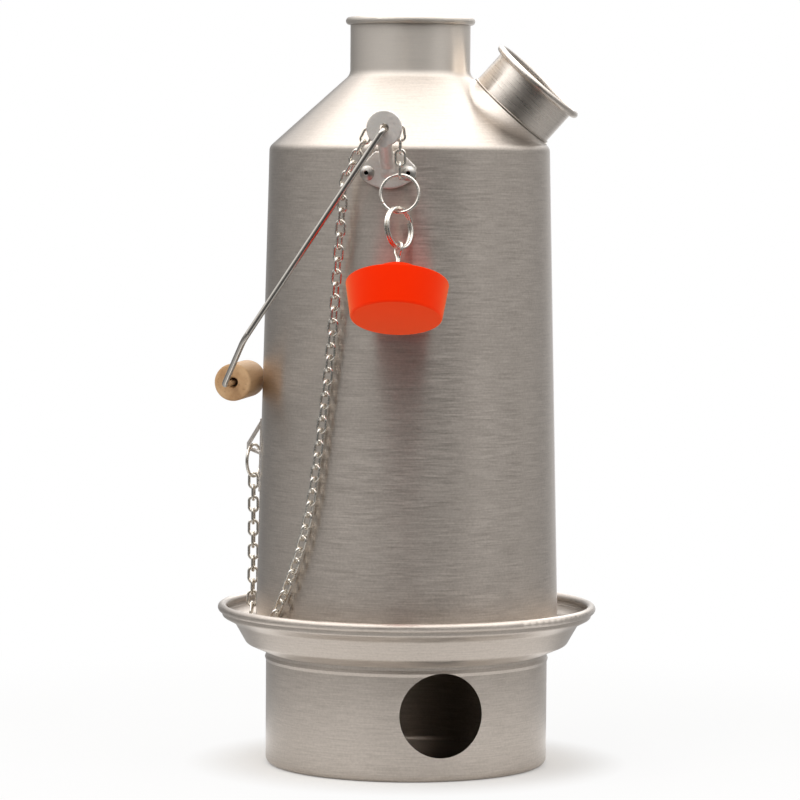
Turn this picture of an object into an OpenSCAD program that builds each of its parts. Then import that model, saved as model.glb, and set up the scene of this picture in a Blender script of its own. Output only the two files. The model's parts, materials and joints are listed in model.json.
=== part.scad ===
// Storm kettle: a water jacket round a chimney, standing on a fire base,
// with a wire bail, a wooden grip and a stopper that hangs on a chain.
// The origin is the middle of the underside, +X points to the spout and -Y to the front lug.

/* [Fire base] */
// Outer diameter of the drum
drum_d = 134; // [126:0.5:136]
// Height of the drum, up to the ledge that carries the kettle
drum_h = 53.5; // [48:0.5:62]
// Thickness of the pressed sheet
base_sheet = 0.8; // [0.6:0.1:1.2]
// Radius of the corner between floor and drum
base_corner_r = 3; // [2:0.5:6]
// Width of the sloping ledge round the drum, on the radius
ledge_w = 9.5; // [8.5:0.1:12]
// Rise of the ledge from the drum to its outer edge
ledge_rise = 4.1; // [2.5:0.1:6]
// How far the dish wall leans out, from the ledge to where it turns out to the lip
dish_flare = 5.5; // [4.5:0.1:7.5]
// Height of the dish wall
dish_h = 9.6; // [7:0.1:13]
// Width of the lip with its rolled rim, on the radius
lip_w = 8; // [6.5:0.1:13]
// Rise of the lip from the dish wall to the rim
lip_rise = 3; // [2:0.1:4]
// Thickness of the rolled rim
rim_bead_d = 4; // [3:0.1:5]
// Height of the hoop pressed round the top of the drum
hoop_h = 3; // [2:0.5:5]
// How far the hoop stands proud
hoop_proud = 0.5; // [0.2:0.1:1]
// Diameter of the air hole
fire_hole_d = 39.4; // [30:0.2:42]
// Height of the middle of the air hole
fire_hole_z = 31; // [26:0.5:32]
// Angle from the front round to the air hole
fire_hole_turn = 23; // [-60:1:60]

/* [Kettle wall] */
// How far the bottom edge stands out past the drum
foot_out = 5.2; // [4.4:0.1:6.8]
// How far the wall draws in up to the shoulder, on the radius
wall_taper = 5.8; // [3.5:0.1:8]
// Height from the bottom edge to the shoulder
wall_h = 236; // [215:1:260]
// Thickness of the outer sheet
wall_sheet = 0.8; // [0.5:0.1:1]
// Rounding of the shoulder
shoulder_r = 4; // [2:0.5:8]
// Fall of the shoulder below level
shoulder_angle = 42; // [36:0.5:46]
// Outer diameter of the neck
neck_d = 56.8; // [52:0.2:60]
// Height of the neck, from the shoulder cone to the middle of its rolled rim
neck_h = 25.2; // [18:0.2:36]
// Rounding where the shoulder turns up into the neck
neck_r = 5; // [2:0.5:8]
// Thickness of the rolled rim
neck_bead_d = 3.6; // [2.6:0.1:4.4]

/* [Flue] */
// Thickness of the flue sheet
flue_sheet = 0.8; // [0.5:0.1:1]
// Radial room round the drum when it is packed inside the flue
pack_room = 1.2; // [0.8:0.1:1.4]
// How far the straight fire chamber reaches past the packed drum
chamber_extra = 6; // [2:0.5:20]
// How far below the neck the chimney cone ends
cone_gap = 7; // [4:0.5:14]
// Rounding at both ends of the chimney cone
flue_r = 14; // [6:1:24]

/* [Spout] */
// Bore of the spout
spout_bore = 42; // [38:0.1:42.6]
// Thickness of the spout tube
spout_sheet = 0.8; // [0.6:0.1:1.2]
// Length of the tube, from its seat to the middle of its rolled lip
spout_len = 19; // [14:0.5:26]
// Distance of the seat's middle from the kettle's axis
spout_reach = 47.8; // [47:0.1:49]
// Diameter over the rolled lip
spout_lip_d = 49.5; // [48:0.1:50]
// Thickness of the rolled lip
spout_bead_d = 3.3; // [2.8:0.1:4]
// Lift of the pulled-out seat above the shoulder
seat_lift = 0.5; // [0.3:0.1:1.5]
// Flare of the pulled-out seat
seat_flare = 3.5; // [2:0.1:5]

/* [Handle lugs] */
// Diameter of the eye disc
eye_d = 16.5; // [15:0.1:18]
// Hole in the eye disc
eye_hole_d = 4.4; // [3.6:0.1:5.4]
// Height of the eye above the shoulder corner
eye_rise = 8.1; // [5:0.1:10]
// Thickness of the lug
lug_sheet = 1.6; // [1.2:0.1:2]
// Distance from the wall to the outer face of the disc
lug_reach = 12.7; // [12:0.1:18]
// Width of the lug's neck
lug_neck_w = 6.6; // [5:0.1:7.2]
// Width of the riveted foot
lug_foot_w = 26; // [24:0.5:30]
// Distance from the eye down to the lowest edge of the foot
lug_drop = 27.4; // [25:0.1:30]
// Radius of the foot's round lower edge
lug_foot_r = 18; // [16:0.5:24]
// Depth of the flanks that stiffen the neck
lug_flank = 3; // [1.8:0.1:3.4]

/* [Rivets] */
// Distance between the two rivets of a lug
rivet_gap = 18.5; // [15:0.1:19.5]
// Height of the rivets above the foot's lowest edge
rivet_rise = 7; // [6.4:0.1:8]
// Diameter of the rivet head
rivet_head_d = 7; // [6:0.1:7.6]
// Height of the rivet head
rivet_head_h = 1.7; // [1.2:0.1:2.4]
// Diameter of the rivet's shank
rivet_d = 4; // [3:0.1:4.8]
// Hole left in the head by the drawn mandrel
rivet_hole_d = 2; // [1.2:0.1:2.4]

/* [Bail] */
// Diameter of the wire
wire_d = 2.7; // [2.2:0.1:3.2]
// Length of the straight arms from the pivot
bail_arm = 115.5; // [100:0.5:122]
// Distance from the pivot to the middle of the grip
bail_depth = 142; // [134:0.5:165]
// Length of the straight stretch that carries the grip
bail_span = 106; // [90:0.5:120]
// Bend radius of the four large bends
bail_bend_r = 8; // [5:0.5:14]
// Bend radius where an arm turns into its eye
hook_r = 2.2; // [2:0.1:4]
// Diameter of the upset heads that keep the ends in the eyes
bail_head_d = 5.6; // [5.5:0.1:6.4]
// Thickness of those heads
bail_head_h = 1.2; // [0.8:0.1:2]

/* [Wooden grip] */
// Diameter of the grip
grip_d = 17.6; // [14:0.2:22]
// Length of the grip
grip_len = 38; // [28:0.5:60]
// How far the grip sits forward of the middle of the wire
grip_slide = 14; // [0:0.5:16]
// Bore through the grip
grip_bore = 3.5; // [3.4:0.1:4.2]
// Rounding of the grip's ends
grip_edge_r = 1.5; // [0.5:0.1:4]

/* [Chain] */
// Outer length of a link
link_len = 8.6; // [7.6:0.1:10]
// Outer width of a link
link_w = 5.5; // [4.8:0.1:5.8]
// Diameter of the link wire
link_wire = 1.3; // [1:0.05:1.4]

/* [Chain tab and ring] */
// Clear height from the hanging grip down to the strap
tab_clear = 10; // [4:0.5:24]
// Length of the strap
tab_len = 35; // [32:0.5:44]
// Width of the strap
tab_w = 6; // [4:0.1:7]
// Thickness of the strap
tab_sheet = 1.2; // [0.8:0.1:1.6]
// Outer reach of the strap's loop from the wall
tab_reach = 7.5; // [6.8:0.1:9]
// Height of the loop's lower end above the strap's lower end
tab_loop_rise = 18.2; // [17:0.1:21]
// Outer diameter of the ring
tab_ring_d = 16.8; // [15:0.1:18]

/* [Stopper] */
// Diameter of the top
stopper_top_d = 47; // [44:0.1:50]
// Diameter at the bottom, which enters the spout
stopper_bottom_d = 41.6; // [38:0.1:41.8]
// Height of the stopper without its boss
stopper_h = 17.4; // [13:0.1:22]
// Rounding of the stopper's edges
stopper_edge_r = 1.2; // [0.6:0.1:2.4]
// Diameter of the raised boss
boss_d = 22; // [16:0.1:28]
// Height of the raised boss
boss_h = 2; // [1:0.1:3]
// How far the stopper tips forward as it leans on the wall
stopper_tilt = 24; // [16:1:28]
// Distance from the ring it hangs on to the top of its boss
eye_stem = 15.2; // [12:0.1:18]
// Diameter of the eye's wire
eye_wire = 1.6; // [1.2:0.1:1.8]
// Diameter of the eye's loop, at the middle of its wire
eye_loop_d = 6.4; // [6.2:0.1:7]
// Turn of the eye's loop towards the ring it hangs on
eye_turn = 30; // [20:1:54]
// How deep the eye's stem is set in the stopper
eye_set = 12; // [8:0.5:14]
// Outer diameter of the ring at the end of the chain
ring_d = 19; // [17:0.1:20]
// Outer diameter of the split ring that carries the stopper
link_ring_d = 20; // [17:0.1:22]
// Diameter of the ring wire
ring_wire = 1.5; // [1.2:0.1:1.6]
// Turn of the second ring out of the plane of the first
link_ring_turn = 57; // [48:1:60]
// Sideways place of the stopper's chain from the middle of the lug
drop_side = 6.8; // [6.7:0.1:7.4]
// Height from the bail's pivot down to the ring at the end of the chain
drop_len = 20.3; // [19.5:0.1:23]

/* [Fits] */
// Gap between fixed pieces that are pressed or welded together
fixed_gap = 0.1; // [0.05:0.05:0.2]
// Gap between pieces that rest on or turn in each other
loose_gap = 0.3; // [0.2:0.05:0.5]
// Slack between links and rings that hang in each other
link_slack = 0.25; // [0.2:0.05:0.35]

/* [Hidden] */
$fn = 96;
arc_steps = 5;
cut = 1;
// Swelling left where a straight runs into a bend
bend_mark = 0.08;

steel = "#B4B0AA";
bright_steel = "#C9C7C2";
wood = "#B38A60";
silicone = "#F2430F";

// Radii worked out from the sizes above
drum_r = drum_d / 2;
ledge_r = drum_r + ledge_w;
dish_r = ledge_r + dish_flare;
rim_r = dish_r + lip_w;
bottom_r = drum_r + foot_out;
top_r = bottom_r - wall_taper;
neck_out_r = neck_d / 2;
spout_in_r = spout_bore / 2;
spout_r = spout_in_r + spout_sheet;
wire_r = wire_d / 2;
link_r = link_wire / 2;
ring_r = ring_wire / 2;

// Heights of the fire base
ledge_slope = ledge_rise / (ledge_r - drum_r);
ledge_top = drum_h + ledge_rise;
dish_top = ledge_top + dish_h;
lip_top = dish_top + lip_rise;
rim_z = lip_top + rim_bead_d;
sheet_over_ledge = base_sheet * sqrt(1 + ledge_slope * ledge_slope);

// Heights of the kettle, which stands on the ledge
kettle_z = drum_h + (bottom_r - drum_r) * ledge_slope + sheet_over_ledge + loose_gap;
shoulder_z = kettle_z + wall_h;
neck_z = shoulder_z + (top_r - neck_out_r) * tan(shoulder_angle);
neck_rim_z = neck_z + neck_h;
neck_top_z = neck_rim_z - neck_bead_d / 2 - fixed_gap;
wall_lean = atan((bottom_r - top_r) / wall_h);

// Flue, measured on the side of the fire
chimney_r = neck_out_r - wall_sheet - fixed_gap - flue_sheet;
chamber_r = drum_r + pack_room;
chamber_z = kettle_z + drum_h + chamber_extra;
chamber_foot_r = chamber_r + 0.5;

// Spout seat on the shoulder
spout_seat_z = shoulder_z + (top_r - spout_reach) * tan(shoulder_angle);
seat_depth = 6;

// Lugs and pivot
eye_z = shoulder_z + eye_rise;
lug_low_z = eye_z - lug_drop;
rivet_z = lug_low_z + rivet_rise;
rivet_turn = asin(rivet_gap / 2 / wall_r(rivet_z));
lug_face_r = wall_r(rivet_z) + lug_reach;
lug_back_r = lug_face_r - lug_sheet;
foot_mid_r = wall_r(rivet_z) + fixed_gap + lug_sheet / 2;
neck_top_fold = eye_z - eye_d * 0.42;
neck_low_fold = rivet_z + 3;
pivot_z = eye_z - eye_hole_d / 2 + wire_r + fixed_gap;

// Chain behind the front lug, lying on the end of the bail
chain_y = -(lug_back_r - link_w / 2 - loose_gap);
stub_end_r = lug_back_r - link_w - 2 * loose_gap - bail_head_h;
arm_y = lug_face_r + loose_gap + hook_r;

// Angle at which the bail hangs with its grip against the wall
hang_reach = wall_r(pivot_z) + grip_d / 2 + 2 * loose_gap;
hang_angle = asin(hang_reach * cos(wall_lean) / bail_depth) + wall_lean;

// Rings and stopper
ring_mid_r = ring_d / 2 - ring_r;
link_ring_mid_r = link_ring_d / 2 - ring_r;
ring_step = ring_wire + 2.5 * link_slack;
rings_drop = 2 * ring_mid_r - ring_step + 2 * link_ring_mid_r;
ring_top_z = pivot_z - drop_len;
hang_r = norm([drop_side, chain_y]);
hang_turn = atan(drop_side / -chain_y);
stem_end = eye_stem + boss_h;
rings_lean = lean_to_wall(15, 4);
eye_in_r = eye_loop_d / 2 - eye_wire / 2;
eye_slant = link_ring_turn - eye_turn;
eye_room = ring_wire * cos(eye_slant) + eye_wire / 2 * tan(eye_slant);
eye_z_drop = sqrt(eye_in_r ^ 2 - eye_room ^ 2) - ring_r - link_slack;

// Chain tab, in the wall's own slope
tab_z = pivot_z - bail_depth * cos(hang_angle) - grip_d / 2 - tab_clear - tab_len;
tab_ring_mid_r = tab_ring_d / 2 - ring_r;
tab_front = tab_reach - tab_sheet / 2;
tab_back = fixed_gap + tab_sheet / 2;
tab_ring_out = max((tab_back + tab_front) / 2, fixed_gap + tab_sheet + link_w / 2 + loose_gap);
tab_ring_sag = tab_ring_mid_r - sqrt(tab_ring_mid_r ^ 2 - (tab_w / 2) ^ 2);
tab_leg_rise = 2.3;
tab_leg_z = tab_loop_rise + tab_leg_rise * (tab_ring_out - tab_back) / (tab_front - tab_back) + tab_sheet * 0.55;
tab_ring_turn = 15;
tab_leg_tip = tab_w / 2 * tan(tab_ring_turn) * tab_leg_rise / (tab_front - tab_back);
tab_ring_top = tab_leg_z + ring_r + tab_ring_sag + tab_leg_tip + 1.5 * loose_gap;

// Route of the chain, from the stopper's ring over the bail's end, down the wall,
// round in the dish and up to the ring of the tab
groove_z = kettle_z + link_w + loose_gap;
groove_off = link_w / 2 + loose_gap;
hang_span = pivot_z - groove_z;
hook_joint = ring_r + link_r + link_slack;
lug_route = [
    [drop_side, chain_y, ring_top_z - hook_joint / 2],
    [drop_side, chain_y, pivot_z - 10.5],
    [drop_side, chain_y, pivot_z - 2.4],
    [5, chain_y, pivot_z + 3.3],
    [0, chain_y, pivot_z + 5.8],
    [-5.4, chain_y, pivot_z + 2.8],
    [-9.4, chain_y, pivot_z - 4.2]];
// Each point down the wall: share of the fall left, angle from the front, distance off the wall
wall_route = [[0.935, 12, 8], [0.9, 15.3, 7.2], [0.84, 16.3, 6.5], [0.745, 18, 5.5], [0.65, 19.5, 4.6],
    [0.55, 21.5, 3.8], [0.46, 23.7, 3.4], [0.37, 26, 3.3], [0.27, 29, 3.3], [0.185, 33.3, 3.3],
    [0.118, 38.8, 3.3], [0.065, 44.5, 3.2], [0.025, 50.5, 3]];
dish_route = [57, 64, 71];
// The chain turns up out of the dish in an arc and hangs straight below the tab
turn_r = 16;
turn_span = turn_r / (wall_r(groove_z) + groove_off) * 180 / PI;
turn_route = [0, 22, 45, 68, 90];
rise_route = [0.12, 0.2];
tab_joint = on_tab([tab_ring_out, 0, tab_ring_top - 2 * tab_ring_mid_r + hook_joint / 2]);
route = concat(
    lug_route,
    [for (p = wall_route) off_wall(p[1], groove_z + p[0] * hang_span, p[2])],
    [for (a = dish_route) off_wall(a, groove_z, groove_off)],
    [for (a = turn_route) off_wall(90 - turn_span * (1 - sin(a)), groove_z + turn_r * (1 - cos(a)),
        groove_off + (hang_off(groove_z + turn_r) - groove_off) * a / 90)],
    [for (t = rise_route) off_wall(90, groove_z + t * hang_span, hang_off(groove_z + t * hang_span))],
    [tab_joint]);

link_pitch = link_len - 2 * link_wire - link_slack;
// Over the bail's end the links turn about the ends of the flat ones
link_shift = (link_len - link_wire - link_pitch) / 2;
curve = smooth_curve(route, 6);
reach = running_length(curve);
chain_len = reach[len(reach) - 1];
link_count = 2 * round((chain_len / link_pitch - 1) / 2) + 1;
link_step = fitted_step(chain_len / link_count, 5);
joints = walk(link_step, link_count, [curve[0]], 0);

// Links of each stretch, by the height and side of their joints
drop_last = 2;
lug_last = first_link_below(pivot_z - 4, drop_last + 3);
run_last = first_link_below(groove_z + 6, lug_last + 1);
dish_last = first_link_above(groove_z + 6, run_last + 1);

// Distance off the wall of the chain that hangs below the tab
function hang_off(z) = max(link_w / 2 + 1.5 * loose_gap, -tab_joint[0] - wall_r(z));

// Radius of the wall at a height
function wall_r(z) = bottom_r + (top_r - bottom_r) * (z - kettle_z) / wall_h;

function unit(v) = v / norm(v);
function left(v) = [-v[1], v[0]];

// Lean of the rings that brings the stopper's rim to the wall
function rim_back_z(lean) = ring_top_z - rings_drop * cos(lean) - stem_end * cos(stopper_tilt)
    - stopper_top_d / 2 * sin(stopper_tilt);
function rim_back_y(lean) = wall_r(rim_back_z(lean)) + loose_gap + stopper_top_d / 2 * cos(stopper_tilt)
    - stem_end * sin(stopper_tilt);
function lean_to_wall(lean, tries) = tries == 0 ? lean
    : lean_to_wall(asin((rim_back_y(lean) - hang_r) / rings_drop), tries - 1);

// A point at an angle from the front towards the left, a height and a distance off the wall
function off_wall(turn, z, off) =
    let (r = wall_r(z) + off)
    [-r * sin(turn), -r * cos(turn), z];

// A point given in the tab's own axes: out from the wall, along it sideways, and up it
function on_tab(p) = [
    -(wall_r(tab_z) + p[0] * cos(wall_lean) - p[2] * sin(wall_lean)),
    -p[1],
    tab_z + p[0] * sin(wall_lean) + p[2] * cos(wall_lean)];

// Points of an outline [[r, z, rounding], ...] with its corners rounded by arcs
function corner(a, b, c, r) =
    let (
        u = unit(a - b),
        v = unit(c - b),
        half = acos(u * v) / 2,
        mid = b + unit(u + v) * r / sin(half),
        from = b + u * r / tan(half) - mid,
        to = b + v * r / tan(half) - mid,
        start = atan2(from[1], from[0]),
        swing = atan2(from[0] * to[1] - from[1] * to[0], from * to))
    [for (i = [0:arc_steps]) mid + r * [cos(start + swing * i / arc_steps), sin(start + swing * i / arc_steps)]];
function flat(p) = [p[0], p[1]];
function rounded(path) = [for (i = [0:len(path) - 1])
    each (i == 0 || i == len(path) - 1 || path[i][2] == 0 ? [flat(path[i])]
        : corner(flat(path[i - 1]), flat(path[i]), flat(path[i + 1]), path[i][2]))];

// The same outline moved to its left by the thickness of the sheet
function moved(path, t) = [for (i = [0:len(path) - 1])
    let (
        n1 = left(unit(path[max(i, 1)] - path[max(i, 1) - 1])),
        j = min(i, len(path) - 2),
        n2 = left(unit(path[j + 1] - path[j])),
        n = unit(n1 + n2))
    path[i] + n * t / (n * n1)];
function backwards(path) = [for (i = [len(path) - 1:-1:0]) path[i]];

// A smooth curve through the points of a route
function smooth_point(a, b, c, d, t) = 0.5 * (2 * b + (c - a) * t + (2 * a - 5 * b + 4 * c - d) * t ^ 2
    + (3 * b - a - 3 * c + d) * t ^ 3);
function smooth_curve(p, steps) = let (last = len(p) - 1) [
    for (i = [0:last - 1]) for (k = [0:steps - 1])
        smooth_point(p[max(i - 1, 0)], p[i], p[i + 1], p[min(i + 2, last)], k / steps),
    p[last]];
function running_length(p, i = 1, sums = [0]) = i == len(p) ? sums
    : running_length(p, i + 1, concat(sums, [sums[i - 1] + norm(p[i] - p[i - 1])]));
// The next joint on the curve, a straight step away from a point, and the stretch it lies on
function next_joint(p, step, i) = i < len(curve) - 2 && norm(curve[i + 1] - p) < step ? next_joint(p, step, i + 1)
    : let (
        way = curve[i + 1] - curve[i],
        lag = curve[i] - p,
        b = lag * way,
        t = (sqrt(b ^ 2 - (way * way) * (lag * lag - step ^ 2)) - b) / (way * way))
    [curve[i] + way * t, i];
function walk(step, count, list, i) = count == 0 ? list
    : let (
        link = len(list) - 1,
        hit = next_joint(list[link], half_link(link, link, step) + half_link(link, link + 1, step), i))
    walk(step, count - 1, concat(list, [hit[0]]), hit[1]);

// Distance from the middle of a link to one of its joints
function half_link(link, joint, step) = step / 2
    + (joint > 1 && joint < 9 ? (link % 2 == 0 ? link_shift : -link_shift) : 0);

// The step that brings the last joint to the end of the curve
function fitted_step(step, tries) = tries == 0 ? step
    : let (
        end = curve[len(curve) - 1],
        way = unit(end - curve[len(curve) - 3]),
        list = walk(step, link_count, [curve[0]], 0))
    fitted_step(step + (end - list[link_count]) * way / link_count, tries - 1);
function first_link_below(z, i) = joints[i][2] < z ? i : first_link_below(z, i + 1);
function first_link_above(z, i) = joints[i][2] > z ? i : first_link_above(z, i + 1);

// A sheet of revolution that follows an outline on its left side
module spun_sheet(path, t) {
    rotate_extrude()
        polygon(concat(path, backwards(moved(path, t))));
}

// A ring of round section about the Z axis
module ring(mid_r, d) {
    rotate_extrude()
        translate([mid_r, 0])
            circle(d = d, $fn = 32);
}

// Two turns of round wire side by side about the Z axis
module split_ring(mid_r, d) {
    half = d * 0.48;
    low = -asin(half / (d / 2));
    sweep = 180 - 2 * low;
    rotate_extrude()
        polygon([
            for (i = [0:14]) [mid_r + d / 2 * cos(low + sweep * i / 14), half + d / 2 * sin(low + sweep * i / 14)],
            for (i = [1:13]) [mid_r - d / 2 * cos(low + sweep * i / 14), -half - d / 2 * sin(low + sweep * i / 14)]]);
}

// Places its children with their X and Y axes along two directions
module along(at, x, y) {
    z = cross(x, y);
    multmatrix([
        [x[0], y[0], z[0], at[0]],
        [x[1], y[1], z[1], at[1]],
        [x[2], y[2], z[2], at[2]],
        [0, 0, 0, 1]])
        children();
}

// Straight round rod from one point to another
module rod(from, to, d) {
    z = unit(to - from);
    side = abs(z[2]) < 0.9 ? [0, 0, 1] : [1, 0, 0];
    x = unit(cross(side, z));
    along(from, x, cross(z, x))
        cylinder(h = norm(to - from), d = d, $fn = 32);
}

// Length of straight lost to a bend at a corner
function bend_angle(a, b, c) = acos(max(-1, min(1, unit(b - a) * unit(c - b))));
function bend_tail(a, b, c, r) = r * tan(bend_angle(a, b, c) / 2);

// Round bend at the corner b between two straights
module bend(a, b, c, r, d) {
    run_in = unit(b - a);
    run_out = unit(c - b);
    inner = unit(run_out - run_in * (run_in * run_out));
    start = b - run_in * bend_tail(a, b, c, r);
    along(start + inner * r, -inner, run_in)
        rotate_extrude(angle = bend_angle(a, b, c))
            translate([r, 0])
                circle(d = d, $fn = 32);
}

// Round wire along points, with a bend radius at each corner
module bent_wire(points, radii, d) {
    last = len(points) - 1;
    for (i = [0:last - 1]) {
        way = unit(points[i + 1] - points[i]);
        lost_a = i == 0 ? 0 : bend_tail(points[i - 1], points[i], points[i + 1], radii[i]);
        lost_b = i + 1 == last ? 0 : bend_tail(points[i], points[i + 1], points[i + 2], radii[i + 1]);
        rod(points[i] + way * lost_a, points[i + 1] - way * lost_b, d);
    }
    for (i = [1:last - 1]) {
        tail = bend_tail(points[i - 1], points[i], points[i + 1], radii[i]);
        bend(points[i - 1], points[i], points[i + 1], radii[i], d);
        for (end = [points[i - 1], points[i + 1]])
            translate(points[i] + unit(end - points[i]) * tail)
                sphere(d = d + bend_mark, $fn = 32);
    }
}

// Puts its children on the wall, with Z along the wall's outward normal and X down the wall
module on_wall(turn, z) {
    rotate([0, 0, turn])
        translate([wall_r(z), 0, z])
            rotate([0, 90 - wall_lean, 0])
                children();
}

module fire_base() {
    outline = rounded([
        [0, 0, 0],
        [drum_r, 0, base_corner_r],
        [drum_r, drum_h - 1.5 * hoop_h, 0],
        [drum_r + hoop_proud, drum_h - hoop_h, 0],
        [drum_r, drum_h - hoop_h / 2, 0],
        [drum_r, drum_h, 0],
        [ledge_r, ledge_top, 3],
        [dish_r, dish_top, 4],
        [rim_r - rim_bead_d * 0.55, lip_top, 1.5],
        [rim_r - rim_bead_d * 0.4, rim_z, 0]]);
    color(steel)
        difference() {
            union() {
                spun_sheet(outline, base_sheet);
                translate([0, 0, rim_z])
                    ring(rim_r - rim_bead_d / 2, rim_bead_d);
            }
            rotate([0, 0, fire_hole_turn])
                translate([0, 0, fire_hole_z])
                    rotate([90, 0, 0])
                        cylinder(h = drum_d, d = fire_hole_d);
        }
}

function shell_outline() = rounded([
    [bottom_r, kettle_z + flue_sheet, 0],
    [top_r, shoulder_z, shoulder_r],
    [neck_out_r, neck_z, neck_r],
    [neck_out_r, neck_top_z, 0]]);

// Puts its children on the spout's seat, with Z along the spout
module on_seat() {
    translate([spout_reach, 0, spout_seat_z])
        rotate([0, shoulder_angle, 0])
            translate([0, 0, seat_lift])
                children();
}

module rivet_holes(clear) {
    for (side = [-1, 1])
        on_wall(-90 + side * rivet_turn, rivet_z)
            translate([0, 0, -wall_sheet - cut])
                cylinder(h = wall_sheet + lug_sheet + 2 * cut, d = rivet_d + 2 * clear, $fn = 32);
}

module outer_shell() {
    outer = shell_outline();
    inner = moved(outer, wall_sheet);
    inner_last = inner[len(inner) - 1];
    color(steel)
        difference() {
            union() {
                rotate_extrude()
                    polygon(concat([[0, outer[0][1]]], outer, [[0, neck_top_z]]));
                on_seat()
                    translate([0, 0, -seat_depth])
                        cylinder(h = seat_depth, r1 = spout_r + seat_flare, r2 = spout_r);
            }
            rotate_extrude()
                polygon(concat(
                    [[0, kettle_z - cut], [inner[0][0], kettle_z - cut]],
                    inner,
                    [[inner_last[0], neck_top_z + cut], [0, neck_top_z + cut]]));
            on_seat()
                translate([0, 0, -seat_depth])
                    cylinder(h = seat_depth + cut, r = spout_in_r);
            rivet_holes(fixed_gap);
            rotate([0, 0, 180])
                rivet_holes(fixed_gap);
        }
}

module flue() {
    outline = rounded([
        [chimney_r, neck_rim_z, 0],
        [chimney_r, neck_z - cone_gap, flue_r],
        [chamber_r, chamber_z, flue_r],
        [chamber_foot_r, kettle_z, 0],
        [bottom_r, kettle_z, 0]]);
    color(steel)
        union() {
            spun_sheet(outline, flue_sheet);
            translate([0, 0, neck_rim_z])
                ring(neck_out_r + neck_bead_d / 9, neck_bead_d);
        }
}

module spout() {
    color(steel)
        on_seat()
            union() {
                difference() {
                    cylinder(h = spout_len, r = spout_r);
                    translate([0, 0, -cut])
                        cylinder(h = spout_len + 2 * cut, r = spout_in_r);
                }
                translate([0, 0, spout_len])
                    ring(spout_lip_d / 2 - spout_bead_d / 2, spout_bead_d);
            }
}

// Stamped lug at the front: riveted foot, stiffened neck and eye disc
module lug() {
    neck_path = [
        [-foot_mid_r, lug_low_z + rivet_rise],
        [-foot_mid_r, neck_low_fold],
        [-(lug_back_r + lug_sheet / 2), neck_top_fold],
        [-(lug_back_r + lug_sheet / 2), eye_z]];
    outer_side = moved(neck_path, -lug_sheet / 2);
    inner_side = moved(neck_path, lug_sheet / 2);
    flank_side = moved(neck_path, -lug_flank);
    foot_top = neck_low_fold + 3;
    foot_half = lug_foot_w / 2;
    difference() {
        union() {
            intersection() {
                rotate_extrude()
                    polygon([
                        [wall_r(lug_low_z) + fixed_gap, lug_low_z],
                        [wall_r(lug_low_z) + fixed_gap + lug_sheet, lug_low_z],
                        [wall_r(foot_top) + fixed_gap + lug_sheet, foot_top],
                        [wall_r(foot_top) + fixed_gap, foot_top]]);
                rotate([90, 0, 0])
                    linear_extrude(lug_face_r)
                        intersection() {
                            translate([0, lug_low_z + lug_foot_r])
                                circle(r = lug_foot_r);
                            polygon([
                                [-foot_half, lug_low_z - cut],
                                [foot_half, lug_low_z - cut],
                                [foot_half, rivet_z + rivet_d * 0.8],
                                [lug_neck_w / 2, foot_top],
                                [-lug_neck_w / 2, foot_top],
                                [-foot_half, rivet_z + rivet_d * 0.8]]);
                        }
            }
            across_x(lug_neck_w)
                polygon(concat(outer_side, backwards(inner_side)));
            for (side = [-1, 1])
                translate([side * (lug_neck_w - lug_sheet * 0.75) / 2, 0, 0])
                    across_x(lug_sheet * 0.75)
                        polygon([neck_path[1], neck_path[2], neck_path[3], flank_side[2]]);
            translate([0, -lug_back_r, eye_z])
                rotate([90, 0, 0])
                    cylinder(h = lug_sheet, d = eye_d);
        }
        translate([0, -lug_back_r + cut, eye_z])
            rotate([90, 0, 0])
                cylinder(h = lug_sheet + 2 * cut, d = eye_hole_d, $fn = 32);
        rivet_holes(fixed_gap);
    }
}

// Extrudes an outline of Y and Z both ways along X
module across_x(width) {
    translate([-width / 2, 0, 0])
        along([0, 0, 0], [0, 1, 0], [0, 0, 1])
            linear_extrude(width)
                children();
}

module front_lug() {
    color(steel)
        lug();
}

module rear_lug() {
    color(steel)
        rotate([0, 0, 180])
            lug();
}

// Blind rivet: domed head with the mandrel's hole, shank and the bulb behind the wall
module rivet() {
    head_z = 2 * fixed_gap + lug_sheet;
    bulb_d = rivet_d * 1.4;
    dome_r = (rivet_head_h ^ 2 + (rivet_head_d / 2) ^ 2) / (2 * rivet_head_h);
    difference() {
        union() {
            translate([0, 0, -wall_sheet - fixed_gap])
                cylinder(h = head_z + wall_sheet + fixed_gap, d = rivet_d, $fn = 32);
            translate([0, 0, -wall_sheet - fixed_gap - rivet_d / 2])
                cylinder(h = rivet_d / 2, d = bulb_d, $fn = 32);
            intersection() {
                translate([0, 0, head_z + rivet_head_h - dome_r])
                    sphere(r = dome_r, $fn = 48);
                translate([0, 0, head_z])
                    cylinder(h = rivet_head_h, d = rivet_head_d, $fn = 48);
            }
        }
        translate([0, 0, head_z])
            cylinder(h = rivet_head_h + cut, d = rivet_hole_d, $fn = 32);
    }
}

module lug_rivets() {
    for (side = [-1, 1])
        on_wall(-90 + side * rivet_turn, rivet_z)
            rivet();
}

module front_lug_rivets() {
    color(bright_steel)
        lug_rivets();
}

module rear_lug_rivets() {
    color(bright_steel)
        rotate([0, 0, 180])
            lug_rivets();
}

// A point of the bail: distance from the pivot down its plane, and place along Y
function on_bail(s, y) = [-s * sin(hang_angle), y, pivot_z - s * cos(hang_angle)];

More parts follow.
